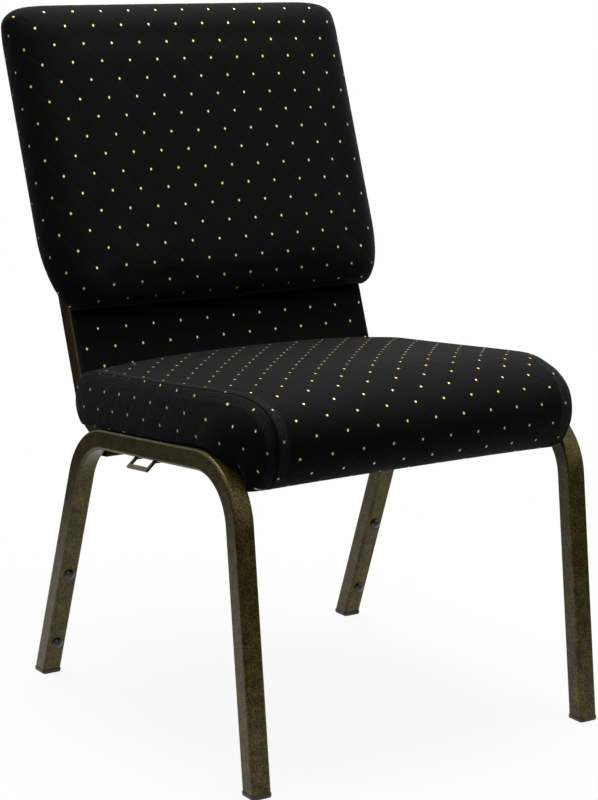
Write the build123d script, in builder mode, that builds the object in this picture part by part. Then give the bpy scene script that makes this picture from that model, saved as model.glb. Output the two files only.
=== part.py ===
"""Upholstered stacking chair on a square steel tube frame.

Two bent leg frames stand either side of a pair of bent back uprights. Cross braces tie them together
under the seat. A waterfall seat cushion lies on the rails, and a thick back pad with a thin lower
panel is bolted to the uprights.

Millimetres. X runs to the right of a viewer who faces the chair, Y to the rear and Z up. The origin is
on the floor, under the middle of the chair's overall length and width.
"""

import os
from math import asin, cos, radians, sin, sqrt, tan

from build123d import *

os.makedirs("parts", exist_ok=True)

# Square tube and the side view of the leg frames
tube = 25.0
tube_wall = 1.5
tube_corner = 4.0
frame_width = 500.0
rail_height = 360.0  # top of the side rails, at the seat's reference
rail_y = 6.6  # place of that reference, which the distances along the seat are counted from
rail_rise = 5.3  # degrees, the rails climb to the front
front_foot_y = -308.4  # centre lines of the legs at the floor
rear_foot_y = 208.6
front_lean = 7.0  # degrees from the vertical
rear_lean = 20.0
front_bend = 71.0  # radii at the centre line of the tube
rear_bend = 88.0

# Back uprights and cross braces
upright_inset = 45.0  # centre lines of the uprights inside the outer faces of the frame
upright_bend = 50.0
back_lean = 20.0
back_foot_y = 127.6  # front faces of the uprights, at the height of the rails
upright_top_gap = 44.0  # tops of the uprights below the top of the back pad
seat_tube_front = -238.0  # front ends of the uprights' seat runs
brace_depth = 25.0
brace_height = 15.0
brace_corner = 2.0
front_brace_y = -229.0  # along the seat
rear_brace_y = 70.0
top_rail_drop = 20.0  # centre line of the top rail below the tops of the uprights

# Glides, bumpers and ganging brackets
glide_base = 5.0
glide_flange = 0.8
glide_insert = 18.0
glide_edge = 2.0
fit_gap = 0.1
bumper_diameter = 14.0
bumper_height = 6.0
bumper_rim = 1.5
bumper_stem = 6.0
bumper_stem_length = 7.0
bumper_heights = {"lower": 50.0, "upper": 151.0}
bracket_thickness = 3.0
bracket_reach = 9.0  # beyond the outer face of the frame
bracket_y = -78.0  # along the seat
loop_length = 48.0
loop_bar = 4.0
loop_slant = 40.0
hook_length = 36.0
hook_drop = 12.0

# Seat cushion and board
board_thickness = 12.0
board_inset = 10.0  # board's edge inside the outer face of the frame
board_front = -240.0
board_rear = 82.0
cushion_lift = 0.6  # gap over the rails
cushion_inset = 1.5  # cushion's foot inside the outer face of the frame
cushion_edge_height = 67.0
cushion_crown = 9.0
cushion_brim = 30.0  # height of the upright foot of the side panels
seam_inset = 19.0
corner_width = 60.0  # rounded front corners in plan
corner_start = -165.0
nose_front = -325.0
nose_bow = 11.0
nose_run = 85.0
nose_middle = 8.0
nose_drop = 40.0
nose_tuck = 58.0
nose_lip = 15.0
nose_gap = 4.0  # beside the legs
cushion_rear = 110.0
cushion_rear_undercut = 26.0
cushion_rear_foot = 22.0
cushion_rear_round = 18.0
fabric = 1.5
soft_gap = 0.3
dust_cover = 1.0
crown_shares = (0.45, 0.8, 1.0)  # stations of the cushion's form, across the crown,
nose_shares = (0.55, 0.85, 1.0)  # from the front corners to the ends of the nose
side_shares = (0.0, 0.5, 0.85, 1.0)  # and from the seam to the foot of the side panels

# Back cushion and board
back_board_thickness = 8.0
back_board_margin = 1.5  # around the T-nuts
back_board_bottom = 38.0
back_board_top_gap = 27.0  # below the top of the pad
pad_inset = 3.0  # pad's sides inside the outer faces of the frame
pad_front = 63.0
pad_crown = 3.0
pad_middle = 16.0
pad_rear = -32.0
pad_side_round = 47.0
pad_top = 519.0
pad_top_round = 50.0
pad_top_corner = 40.0  # rounded upper corners, across
pad_top_corner_height = 22.0
pad_bottom = 122.0
pad_bottom_round = 42.0
pad_bottom_tuck = 18.0
pad_foot_inset = 1.0  # pad's foot inside the sides of the lower panel
pad_foot_corner = 85.0
pad_foot_turns = (84, 62, 40, 20, 0)  # stations of the pad's rounded foot and top, in degrees
pad_top_turns = (0, 25, 45, 62, 75, 84)
shell_wall = 3.0
shell_foot_front = 135.0
shell_foot_slant = 62.0
lower_pad_margin = 4.5  # past the back board's sides
lower_pad_thickness = 8.5
lower_pad_bottom = 36.0
lower_pad_edge = 5.0

# Bolts and T-nuts
bolt_diameter = 6.0
bolt_head = 12.0
bolt_head_height = 2.5
bolt_hole = 6.4
nut_barrel = 8.5
nut_flange = 16.0
nut_flange_thickness = 1.5
nut_barrel_length = 6.0
bolt_socket = 3.5
bolt_socket_depth = 1.6
bolt_head_edge = 0.8
bolt_end_gap = 1.0  # between the bolts' ends and the boards' padded faces
seat_bolt_rows = (-190.0, 40.0)
back_bolt_rows = (215.0, 430.0)

# Places worked out from the sizes above
frame_half = frame_width / 2
leg_x = frame_half - tube / 2
inner_half = frame_half - tube
upright_x = frame_half - upright_inset
upright_top = pad_top - upright_top_gap  # along the back, from the height of the rails
top_rail_height = upright_top - top_rail_drop
back_board_half = upright_x + nut_flange / 2 + back_board_margin
back_board_top = pad_top - back_board_top_gap
pad_half_width = frame_half - pad_inset
lower_pad_half_width = back_board_half + lower_pad_margin
pad_foot_half_width = lower_pad_half_width - pad_foot_inset
bore = tube - 2 * tube_wall
foam_skin = fabric + 2 * soft_gap
sides = {"left": -1, "right": 1}
rise = radians(rail_rise)
lean = radians(back_lean)
seat_plane = Plane(origin=(0, rail_y, rail_height), x_dir=(1, 0, 0), z_dir=(0, sin(rise), cos(rise)))
back_plane = Plane(origin=(0, back_foot_y, rail_height), x_dir=(1, 0, 0), z_dir=(0, -cos(lean), sin(lean)))


def on_seat(x, y, z):
    """A point given across, along and above the tops of the rails."""
    return seat_plane.from_local_coords(Vector(x, y, z))


def on_back(x, y, z):
    """A point given across, up and in front of the uprights' front faces."""
    return back_plane.from_local_coords(Vector(x, y, z))


def crossing(start, along, other, other_along):
    """Where two lines that lie in one plane across X meet."""
    gap = other - start
    turn = along.Y * other_along.Z - along.Z * other_along.Y
    return start + along * ((gap.Y * other_along.Z - gap.Z * other_along.Y) / turn)


def tube_section(start, towards):
    """The hollow square section of the tube, at the start of a run."""
    with BuildSketch(Plane(origin=start, x_dir=(1, 0, 0), z_dir=towards - start)) as section:
        RectangleRounded(tube, tube, tube_corner)
        RectangleRounded(bore, bore, tube_corner - tube_wall, mode=Mode.SUBTRACT)
    return section.sketch


def ellipse_drop(share):
    """How far a quarter ellipse has come down, as a share, at a share of its run."""
    return 1 - sqrt(max(0.0, 1 - share**2))


# Leg lines, from the floor up
leg_runs = {
    "front": (front_foot_y, Vector(0, sin(radians(front_lean)), cos(radians(front_lean))), front_lean),
    "rear": (rear_foot_y, Vector(0, -sin(radians(rear_lean)), cos(radians(rear_lean))), rear_lean),
}


def leg_point(end, x, height):
    """A point on a leg's centre line, at a height over the floor."""
    foot_y, up, _ = leg_runs[end]
    return Vector(x, foot_y, 0) + up * (height / up.Z)


def bumper_plane(x, height):
    """The front face of a rear leg, at a height over the floor."""
    face = Vector(0, -cos(radians(rear_lean)), -sin(radians(rear_lean)))
    return Plane(origin=leg_point("rear", x, height) + face * (tube / 2), x_dir=(1, 0, 0), z_dir=face)


# Leg frames: one bent tube each side, cut level at the feet, with holes for the bumpers
for side, sign in sides.items():
    x = sign * leg_x
    rail_middle = on_seat(x, 0, -tube / 2)
    corners = []
    ends = []
    for end, (foot_y, up, leg_lean) in leg_runs.items():
        corners.append(crossing(rail_middle, seat_plane.y_dir, leg_point(end, x, 0), up))
        ends.append(leg_point(end, x, -tube))
    with BuildPart() as leg_frame:
        with BuildLine():
            FilletPolyline(ends[0], *corners, ends[1], radius=[front_bend, rear_bend])
        sweep(sections=tube_section(ends[0], corners[0]))
        split(bisect_by=Plane.XY.offset(glide_base), keep=Keep.TOP)
        for height in bumper_heights.values():
            with BuildSketch(bumper_plane(x, height)):
                Circle(bumper_stem / 2 + fit_gap)
            extrude(amount=-tube / 2, mode=Mode.SUBTRACT)
    leg_frame.part.label = f"{side}_leg_frame"
    export_step(leg_frame.part, f"parts/{side}_leg_frame.step")

# Floor glides: a level sole under each leg, and a plug inside its tube
for end, (foot_y, up, leg_lean) in leg_runs.items():
    for side, sign in sides.items():
        foot = leg_point(end, sign * leg_x, glide_base)
        plug_size = bore - 2 * fit_gap
        with BuildPart() as glide:
            with BuildSketch(Plane(origin=foot, x_dir=(1, 0, 0), z_dir=up)):
                RectangleRounded(plug_size, plug_size, tube_corner - tube_wall - fit_gap)
            extrude(amount=glide_insert, both=True)
            split(bisect_by=Plane.XY.offset(glide_base / 2), keep=Keep.TOP)
            with BuildSketch(Plane(origin=(foot.X, foot.Y, 0))):
                sole_width = tube + 2 * glide_flange
                sole_length = tube / cos(radians(leg_lean)) + 2 * glide_flange
                RectangleRounded(sole_width, sole_length, tube_corner + glide_flange)
            extrude(amount=glide_base)
            fillet(glide.edges().group_by(Axis.Z)[0], radius=glide_edge)
        glide.part.label = f"{end}_{side}_glide"
        export_step(glide.part, f"parts/{end}_{side}_glide.step")

# Stacking bumpers: domed buttons with a stem through the front wall of the rear legs
dome_rise = bumper_height - bumper_rim
dome_radius = ((bumper_diameter / 2) ** 2 + dome_rise**2) / (2 * dome_rise)
dome_angle = asin(bumper_diameter / 2 / dome_radius) / 2
dome_side = (dome_radius * sin(dome_angle), bumper_height - dome_radius * (1 - cos(dome_angle)))
for side, sign in sides.items():
    for level, height in bumper_heights.items():
        face = bumper_plane(sign * leg_x, height)
        with BuildPart() as bumper:
            with BuildSketch(Plane(origin=face.origin, x_dir=(1, 0, 0), z_dir=-face.y_dir)):
                with BuildLine():
                    Polyline(
                        (0, bumper_height),
                        (0, -bumper_stem_length),
                        (bumper_stem / 2, -bumper_stem_length),
                        (bumper_stem / 2, 0),
                        (bumper_diameter / 2, 0),
                        (bumper_diameter / 2, bumper_rim),
                    )
                    ThreePointArc((bumper_diameter / 2, bumper_rim), dome_side, (0, bumper_height))
                make_face()
            revolve(axis=Axis(face.origin, face.z_dir))
        bumper.part.label = f"{side}_{level}_bumper"
        export_step(bumper.part, f"parts/{side}_{level}_bumper.step")

# Back uprights: seat run and upright bent from one tube, drilled for the bolts
for side, sign in sides.items():
    x = sign * upright_x
    run_front = on_seat(x, seat_tube_front, -tube / 2)
    run_top = on_back(x, upright_top, -tube / 2)
    elbow = crossing(run_front, seat_plane.y_dir, run_top, back_plane.y_dir)
    with BuildPart() as upright:
        with BuildLine():
            FilletPolyline(run_front, elbow, run_top, radius=upright_bend)
        sweep(sections=tube_section(run_front, elbow))
        with BuildSketch(seat_plane):
            with Locations(*[(x, y) for y in seat_bolt_rows]):
                Circle(bolt_hole / 2)
        extrude(amount=-2 * tube, mode=Mode.SUBTRACT)
        with BuildSketch(back_plane):
            with Locations(*[(x, y) for y in back_bolt_rows]):
                Circle(bolt_hole / 2)
        extrude(amount=-2 * tube, mode=Mode.SUBTRACT)
    upright.part.label = f"{side}_back_upright"
    export_step(upright.part, f"parts/{side}_back_upright.step")

# Cross braces: flat rectangular tubes under the seat runs, between the leg frames
for end, brace_y in {"front": front_brace_y, "rear": rear_brace_y}.items():
    brace_middle = on_seat(-inner_half, brace_y, -tube - brace_height / 2)
    with BuildPart() as brace:
        with BuildSketch(Plane(origin=brace_middle, x_dir=seat_plane.y_dir, z_dir=(1, 0, 0))):
            RectangleRounded(brace_depth, brace_height, brace_corner)
            bore_depth = brace_depth - 2 * tube_wall
            bore_height = brace_height - 2 * tube_wall
            RectangleRounded(bore_depth, bore_height, brace_corner / 2, mode=Mode.SUBTRACT)
        extrude(amount=2 * inner_half)
    brace.part.label = f"{end}_cross_brace"
    export_step(brace.part, f"parts/{end}_cross_brace.step")

# Back top rail: a short tube between the uprights, near their upper ends
rail_start = on_back(-upright_x + tube / 2, top_rail_height, -tube / 2)
with BuildPart() as top_rail:
    with BuildSketch(Plane(origin=rail_start, x_dir=back_plane.y_dir, z_dir=(1, 0, 0))):
        RectangleRounded(tube, tube, tube_corner)
        RectangleRounded(bore, bore, tube_corner - tube_wall, mode=Mode.SUBTRACT)
    extrude(amount=2 * upright_x - tube)
top_rail.part.label = "back_top_rail"
export_step(top_rail.part, "parts/back_top_rail.step")

# Ganging loop: a bent plate under the left rail, slotted to take a neighbour's hook
slant = radians(loop_slant)
bracket_root = inner_half + bracket_thickness
loop_tip = frame_half + bracket_reach
loop_knee = loop_tip - bracket_reach - bracket_thickness
with BuildPart() as loop:
    with BuildSketch(Plane(origin=on_seat(0, bracket_y, -tube), x_dir=(-1, 0, 0), z_dir=seat_plane.y_dir)):
        with BuildLine():
            upper = Polyline(
                (bracket_root, 0),
                (loop_knee, 0),
                (loop_tip, -(loop_tip - loop_knee) * tan(slant)),
            )
            offset(upper, amount=-bracket_thickness, side=Side.RIGHT, closed=True)
        make_face()
    extrude(amount=loop_length / 2, both=True)
    with BuildSketch(seat_plane.offset(-tube)):
        with Locations((-(bracket_root + loop_tip) / 2, bracket_y)):
            Rectangle(loop_tip - bracket_root - 2 * loop_bar, loop_length - 2 * loop_bar)
    extrude(amount=-tube, mode=Mode.SUBTRACT)
loop.part.label = "left_ganging_loop"
export_step(loop.part, "parts/left_ganging_loop.step")

# Ganging hook: a plate under the right rail, turned down at its tip
with BuildPart() as hook:
    with BuildSketch(Plane(origin=on_seat(0, bracket_y, -tube), x_dir=(1, 0, 0), z_dir=-seat_plane.y_dir)):
        with BuildLine():
            Polyline(
                (bracket_root, 0),
                (loop_tip, 0),
                (loop_tip, -hook_drop),
                (loop_tip - bracket_thickness, -hook_drop),
                (loop_tip - bracket_thickness, -bracket_thickness),
                (bracket_root, -bracket_thickness),
                close=True,
            )
        make_face()
    extrude(amount=hook_length / 2, both=True)
hook.part.label = "right_ganging_hook"
export_step(hook.part, "parts/right_ganging_hook.step")

# Seat board: plywood on the rails and the seat runs, bored for the T-nuts
board_half = frame_half - board_inset
with BuildPart() as seat_board:
    with BuildSketch(seat_plane):
        with Locations((0, (board_front + board_rear) / 2)):
            Rectangle(2 * board_half, board_rear - board_front)
    extrude(amount=board_thickness)
    with Locations(seat_plane.offset(board_thickness)):
        with Locations(*[(sign * upright_x, y) for sign in sides.values() for y in seat_bolt_rows]):
            CounterBoreHole(nut_barrel / 2, nut_flange / 2 + fit_gap, nut_flange_thickness)
seat_board.part.label = "seat_board"
export_step(seat_board.part, "parts/seat_board.step")

# Dust cover: a thin sheet under the seat board, between the seat runs
with BuildPart() as dust_sheet:
    with BuildSketch(seat_plane):
        with Locations((0, (board_front + board_rear) / 2)):
            Rectangle(2 * upright_x - tube - 2 * tube_wall, board_rear - board_front - tube)
    extrude(amount=-dust_cover)
dust_sheet.part.label = "seat_dust_cover"
export_step(dust_sheet.part, "parts/seat_dust_cover.step")


def seat_section(x, skin):
    """Side view of the seat cushion at a place across it, drawn in by the thickness of a skin.

    The outline runs up the back, along the top, round the nose and under the lip. Towards the sides the
    top comes down from its crown to the brim, and the nose draws back and loses its drop.
    """
    half = frame_half - cushion_inset - skin
    seam = frame_half - seam_inset - skin
    corner = half - corner_width
    nose_half = inner_half - nose_gap - skin
    across = abs(x)
    edge = cushion_edge_height - skin
    if across < seam:
        top = edge + cushion_crown * (1 - (across / seam) ** 2)
    else:
        top = edge - (edge - cushion_brim + skin) * ellipse_drop((across - seam) / (half - seam))
    front = nose_front + skin + nose_bow * min(1, across / corner) ** 2
    drop = nose_drop
    if across > corner:
        front += (corner_start + skin - front) * ellipse_drop((across - corner) / (half - corner))
        drop *= 1 - ellipse_drop(min(1, (across - corner) / (nose_half - corner)))
    drop = max(drop, fit_gap)
    full_rise = cushion_edge_height + cushion_crown - nose_middle
    fall = (nose_middle + drop) / (nose_middle + nose_drop)
    rear = cushion_rear - skin
    rear_round = cushion_rear_round * (top - cushion_rear_foot) / full_rise
    shoulder = (front + nose_run * (top - nose_middle) / full_rise, top)
    tuck = (front + (nose_tuck - 2 * skin) * fall**2, cushion_lift + skin - drop)
    lip_end = (tuck[0] + nose_lip * fall - skin / 2, cushion_lift)
    with BuildSketch(Plane(origin=on_seat(x, 0, 0), x_dir=seat_plane.y_dir, z_dir=(1, 0, 0))) as section:
        with BuildLine():
            Line((rear - cushion_rear_undercut, cushion_lift), (rear, cushion_rear_foot))
            Line((rear, cushion_rear_foot), (rear, top - rear_round))
            RadiusArc((rear, top - rear_round), (rear - rear_round, top), -rear_round)
            Line((rear - rear_round, top), shoulder)
            brow = TangentArc(shoulder, (front, nose_middle), tangent=(-1, 0))
            TangentArc((front, nose_middle), tuck, tangent=brow % 1)
            Line(tuck, lip_end)
            Line(lip_end, (rear - cushion_rear_undercut, cushion_lift))
        make_face()
    return section.sketch


def seat_form(skin):
    """The stations of the seat cushion from side to side, closer together towards its edges."""
    half = frame_half - cushion_inset - skin
    seam = frame_half - seam_inset - skin
    corner = half - corner_width
    nose_half = inner_half - nose_gap - skin
    stations = [share * corner for share in crown_shares]
    stations += [corner + share * (nose_half - corner) for share in nose_shares]
    stations += [seam + share * (half - seam) for share in side_shares]
    places = [-x for x in reversed(stations)] + [0.0] + stations
    return [seat_section(x, skin) for x in places]


# Room for the seat board inside the cushion
with BuildPart() as board_room:
    with BuildSketch(seat_plane):
        with Locations((0, (board_front + board_rear) / 2)):
            Rectangle(2 * board_half + 2 * soft_gap, board_rear - board_front + 2 * soft_gap)
    extrude(amount=board_thickness + soft_gap)

# Seat cover: the sewn fabric, open under the board
with BuildPart() as seat_cover:
    loft(sections=seat_form(0), ruled=True)
    loft(sections=seat_form(fabric), ruled=True, mode=Mode.SUBTRACT)
    add(board_room.part, mode=Mode.SUBTRACT)
seat_cover.part.label = "seat_cover"
export_step(seat_cover.part, "parts/seat_cover.step")

# Seat foam inside the cover
with BuildPart() as seat_foam:
    loft(sections=seat_form(foam_skin), ruled=True)
    add(board_room.part, mode=Mode.SUBTRACT)
seat_foam.part.label = "seat_foam"
export_step(seat_foam.part, "parts/seat_foam.step")

# Back board: plywood on the uprights' front faces, bored for the T-nuts
with BuildPart() as back_board:
    with BuildSketch(back_plane):
        with Locations((0, (back_board_bottom + back_board_top) / 2)):
            Rectangle(2 * back_board_half, back_board_top - back_board_bottom)
    extrude(amount=back_board_thickness)
    with Locations(back_plane.offset(back_board_thickness)):
        with Locations(*[(sign * upright_x, y) for sign in sides.values() for y in back_bolt_rows]):
            CounterBoreHole(nut_barrel / 2, nut_flange / 2 + fit_gap, nut_flange_thickness)
back_board.part.label = "back_board"
export_step(back_board.part, "parts/back_board.step")


def pad_section(height, front, rear, half, skin):
    """The back pad cut across at a height, drawn in by the thickness of a skin.

    The front is a shallow crown and the rear is flat. Each side is a full round, as two arcs that bulge
    past the straight line between their ends.
    """
    front, rear, half = front - skin, rear + skin, half - skin
    flat = half - pad_side_round + skin
    bulge = 1 - sqrt(0.5)

    def side_arc(sign, end):
        start = (sign * flat, end)
        middle = (sign * (half - bulge * (half - flat)), end - bulge * (end - pad_middle))
        return ThreePointArc(start, middle, (sign * half, pad_middle))

    level = Plane(origin=on_back(0, height, 0), x_dir=(1, 0, 0), z_dir=-back_plane.y_dir)
    with BuildSketch(level) as section:
        with BuildLine():
            ThreePointArc((-flat, front - pad_crown), (0, front), (flat, front - pad_crown))
            side_arc(1, front - pad_crown)
            side_arc(1, rear)
            Line((flat, rear), (-flat, rear))
            side_arc(-1, rear)
            side_arc(-1, front - pad_crown)
        make_face()
    return section.sketch


def pad_half_at(height):
    """Half the pad's width at a height, over its rounded lower and upper corners."""
    low = max(0.0, 1 - (height - pad_bottom) / pad_foot_corner)
    high = max(0.0, 1 - (pad_top - height) / pad_top_corner_height)
    foot_corner = pad_half_width - pad_foot_half_width
    return pad_half_width - foot_corner * ellipse_drop(low) - pad_top_corner * ellipse_drop(high)


def pad_form(skin):
    """The stations of the back pad from its rounded foot to its rounded top."""
    sections = []
    for turn in pad_foot_turns:
        height = pad_bottom + skin + (pad_bottom_round - skin) * (1 - sin(radians(turn)))
        front = pad_bottom_tuck + (pad_front - pad_bottom_tuck) * cos(radians(turn))
        sections.append(pad_section(height, front, pad_rear, pad_half_at(height), skin))
    corner_end = pad_bottom + pad_foot_corner
    top_start = pad_top - pad_top_round
    sections.append(pad_section(corner_end, pad_front, pad_rear, pad_half_width, skin))
    for turn in pad_top_turns:
        height = top_start + (pad_top_round - skin) * sin(radians(turn))
        keep = cos(radians(turn))
        front = pad_middle + (pad_front - pad_middle) * keep
        rear = pad_middle + (pad_rear - pad_middle) * keep
        sections.append(pad_section(height, front, rear, pad_half_at(height), skin))
    return sections


# Room for the back board inside the pad
with BuildPart() as back_board_room:
    with BuildSketch(back_plane):
        with Locations((0, (back_board_bottom + back_board_top) / 2)):
            room_height = back_board_top - back_board_bottom + 2 * soft_gap
            Rectangle(2 * back_board_half + 2 * soft_gap, room_height)
    extrude(amount=back_board_thickness + soft_gap)

# Back cover: the fabric over the front and the sides of the upper pad
with BuildPart() as back_cover:
    loft(sections=pad_form(0), ruled=True)
    loft(sections=pad_form(fabric), ruled=True, mode=Mode.SUBTRACT)
    split(bisect_by=back_plane, keep=Keep.TOP)
    add(back_board_room.part, mode=Mode.SUBTRACT)
back_cover.part.label = "back_cover"
export_step(back_cover.part, "parts/back_cover.step")

# Back foam inside the cover
with BuildPart() as back_foam:
    loft(sections=pad_form(foam_skin), ruled=True)
    split(bisect_by=back_plane, keep=Keep.TOP)
    add(back_board_room.part, mode=Mode.SUBTRACT)
back_foam.part.label = "back_foam"
export_step(back_foam.part, "parts/back_foam.step")

# Back rear cover: a shell over the uprights, closed below along a slant that they pass through
foot_slant = radians(shell_foot_slant)
foot_normal = back_plane.y_dir * cos(foot_slant) + back_plane.z_dir * sin(foot_slant)
foot_plane = Plane(origin=on_back(0, shell_foot_front, 0), x_dir=(1, 0, 0), z_dir=foot_normal)
slot_reach = (tube + soft_gap) / cos(foot_slant) + shell_wall * tan(foot_slant)
with BuildPart() as shell_room:
    loft(sections=pad_form(shell_wall), ruled=True)
    split(bisect_by=foot_plane.offset(shell_wall), keep=Keep.TOP)
with BuildPart() as rear_cover:
    loft(sections=pad_form(0), ruled=True)
    split(bisect_by=back_plane, keep=Keep.BOTTOM)
    split(bisect_by=foot_plane, keep=Keep.TOP)
    add(shell_room.part, mode=Mode.SUBTRACT)
    with BuildSketch(foot_plane.offset(-tube)):
        with Locations((-upright_x, 0), (upright_x, 0)):
            Rectangle(tube + 2 * soft_gap, 2 * slot_reach)
    extrude(amount=2 * tube, mode=Mode.SUBTRACT)
rear_cover.part.label = "back_rear_cover"
export_step(rear_cover.part, "parts/back_rear_cover.step")

# Lower back pad: a thin padded panel on the board, below the upper pad
with BuildPart() as lower_pad:
    with BuildSketch(back_plane.offset(soft_gap)):
        with Locations((0, (lower_pad_bottom + pad_bottom - soft_gap) / 2)):
            Rectangle(2 * lower_pad_half_width, pad_bottom - soft_gap - lower_pad_bottom)
    extrude(amount=back_board_thickness + lower_pad_thickness - soft_gap)
    front_face = lower_pad.faces().filter_by(back_plane).sort_by(Axis.Y)[0]
    fillet(front_face.edges(), radius=lower_pad_edge)
    add(back_board_room.part, mode=Mode.SUBTRACT)
lower_pad.part.label = "back_lower_pad"
export_step(lower_pad.part, "parts/back_lower_pad.step")

# Bolts through the uprights, and the T-nuts in the boards that they screw into
fixings = {
    "seat": (seat_plane, board_thickness, seat_bolt_rows),
    "back": (back_plane, back_board_thickness, back_bolt_rows),
}
for name, (plane, thickness, rows) in fixings.items():
    places = [(sign * upright_x, y) for sign in sides.values() for y in rows]
    with BuildPart() as nuts:
        with BuildSketch(plane.offset(thickness)):
            with Locations(*places):
                Circle(nut_flange / 2)
                Circle(bolt_diameter / 2 + fit_gap, mode=Mode.SUBTRACT)
        extrude(amount=-nut_flange_thickness)
        with BuildSketch(plane.offset(thickness - nut_flange_thickness)):
            with Locations(*places):
                Circle(nut_barrel / 2 - fit_gap)
                Circle(bolt_diameter / 2 + fit_gap, mode=Mode.SUBTRACT)
        extrude(amount=-nut_barrel_length)
    nuts.part.label = f"{name}_t_nuts"
    export_step(nuts.part, f"parts/{name}_t_nuts.step")
    head_plane = plane.offset(-tube - bolt_head_height)
    with BuildPart() as bolts:
        with BuildSketch(head_plane):
            with Locations(*places):
                Circle(bolt_head / 2)
        extrude(amount=bolt_head_height)
        rims = bolts.edges().group_by(Axis(plane.origin, plane.z_dir))[0]
        chamfer(rims, length=bolt_head_edge)
        with BuildSketch(head_plane):
            with Locations(*places):
                RegularPolygon(bolt_socket, 6)
        extrude(amount=bolt_socket_depth, mode=Mode.SUBTRACT)
        with BuildSketch(plane.offset(-tube)):
            with Locations(*places):
                Circle(bolt_diameter / 2)
        extrude(amount=tube + thickness - bolt_end_gap)
    bolts.part.label = f"{name}_bolts"
    export_step(bolts.part, f"parts/{name}_bolts.step")
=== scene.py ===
# %% [markdown]
# # An upholstered stacking chair, dressed in Blender
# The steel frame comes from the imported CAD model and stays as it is. This lesson adds what CAD leaves plain:
# the sewn and padded cushions, the woven cloth, the speckled frame coat, and a studio to see them in.

import bpy
import numpy as np
from mathutils import Matrix, Vector


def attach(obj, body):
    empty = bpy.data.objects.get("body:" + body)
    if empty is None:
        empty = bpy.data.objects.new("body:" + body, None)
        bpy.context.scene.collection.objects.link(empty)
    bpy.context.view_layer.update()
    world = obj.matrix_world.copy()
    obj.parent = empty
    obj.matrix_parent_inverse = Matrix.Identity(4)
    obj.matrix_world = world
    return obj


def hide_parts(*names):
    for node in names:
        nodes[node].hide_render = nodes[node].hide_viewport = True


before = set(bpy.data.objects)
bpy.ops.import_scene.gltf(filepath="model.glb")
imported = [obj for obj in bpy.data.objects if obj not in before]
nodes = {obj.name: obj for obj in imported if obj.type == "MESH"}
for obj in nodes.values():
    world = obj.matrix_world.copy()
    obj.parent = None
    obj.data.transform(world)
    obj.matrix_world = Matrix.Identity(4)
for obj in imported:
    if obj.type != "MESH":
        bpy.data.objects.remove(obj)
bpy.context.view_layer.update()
scene = bpy.context.scene

# %% [markdown]
# ## Two working planes
# The seat rails climb to the front by a few degrees and the back leans to the rear. A cushion is easiest to
# describe in its own plane, so two small functions carry points from those planes into the chair's frame.
# Everything is written in millimetres, as on a drawing, and becomes metres here.

# %% Working planes
MM = 0.001
SEAT_ORIGIN = (0.0, 6.6, 360.0)
SEAT_RISE = np.radians(5.3)
BACK_ORIGIN = (0.0, 127.6, 360.0)
BACK_LEAN = np.radians(20.0)


def from_seat(x, along, above):
    """World points: the seat's origin, plus x across, plus a distance to the rear and one above the rails."""
    y = SEAT_ORIGIN[1] + along * np.cos(SEAT_RISE) + above * np.sin(SEAT_RISE)
    z = SEAT_ORIGIN[2] - along * np.sin(SEAT_RISE) + above * np.cos(SEAT_RISE)
    return np.stack(np.broadcast_arrays(x, y, z), axis=-1) * MM


def from_back(x, up, ahead):
    """World points: the back's origin, plus x across, plus a distance up the back and one in front of it."""
    y = BACK_ORIGIN[1] + up * np.sin(BACK_LEAN) - ahead * np.cos(BACK_LEAN)
    z = BACK_ORIGIN[2] + up * np.cos(BACK_LEAN) + ahead * np.sin(BACK_LEAN)
    return np.stack(np.broadcast_arrays(x, y, z), axis=-1) * MM


def to_back(points):
    """The other way: across, up and ahead in millimetres, for world points."""
    x, y, z = (points / MM - BACK_ORIGIN).T
    up, ahead = y * np.sin(BACK_LEAN) + z * np.cos(BACK_LEAN), z * np.sin(BACK_LEAN) - y * np.cos(BACK_LEAN)
    return x, up, ahead


print("Seat origin and back origin in mm:", SEAT_ORIGIN, BACK_ORIGIN)

# %% [markdown]
# ## From grids of points to one closed mesh
# Every cushion is made of panels, and every panel is a grid of points: a function of two parameters. Panels
# that meet share the points on their common edge, so all panels go into one list and equal points are merged
# by rounding. Each panel keeps its own cloth coordinates, in metres of cloth, stored per face corner. So the
# woven pattern can jump at a seam, as it does on a sewn cover. A second map marks how near a seam is.


# %% Curves
def spline_through(points, at):
    """A smooth curve through points: between two of them, the cubic whose end slopes are half the chord
    between the neighbours on either side. The parameter counts the points."""
    last = len(points) - 1
    start = np.clip(np.floor(at).astype(int), 0, last - 1)
    t = (at - start)[:, None]
    p0, p1 = points[np.maximum(start - 1, 0)], points[start]
    p2, p3 = points[start + 1], points[np.minimum(start + 2, last)]
    slope1, slope2, rise = (p2 - p0) / 2, (p3 - p1) / 2, p2 - p1
    return p1 + slope1 * t + (3 * rise - 2 * slope1 - slope2) * t**2 + (slope1 + slope2 - 2 * rise) * t**3


def running_length(points, axis=0):
    """Distance travelled along rows of points, starting from nothing."""
    steps = np.linalg.norm(np.diff(points, axis=axis), axis=-1)
    pad = [(0, 0)] * steps.ndim
    pad[axis] = (1, 0)
    return np.pad(np.cumsum(steps, axis=axis), pad)


def ramp(value):
    """Smooth step from 0 to 1."""
    value = np.clip(value, 0, 1)
    return value * value * (3 - 2 * value)


# %% Measures of a mesh
def read_points(mesh):
    """All vertices of a mesh as one array."""
    flat = np.empty(len(mesh.vertices) * 3, np.float32)
    mesh.vertices.foreach_get("co", flat)
    return flat.reshape(-1, 3).astype(float)


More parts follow.
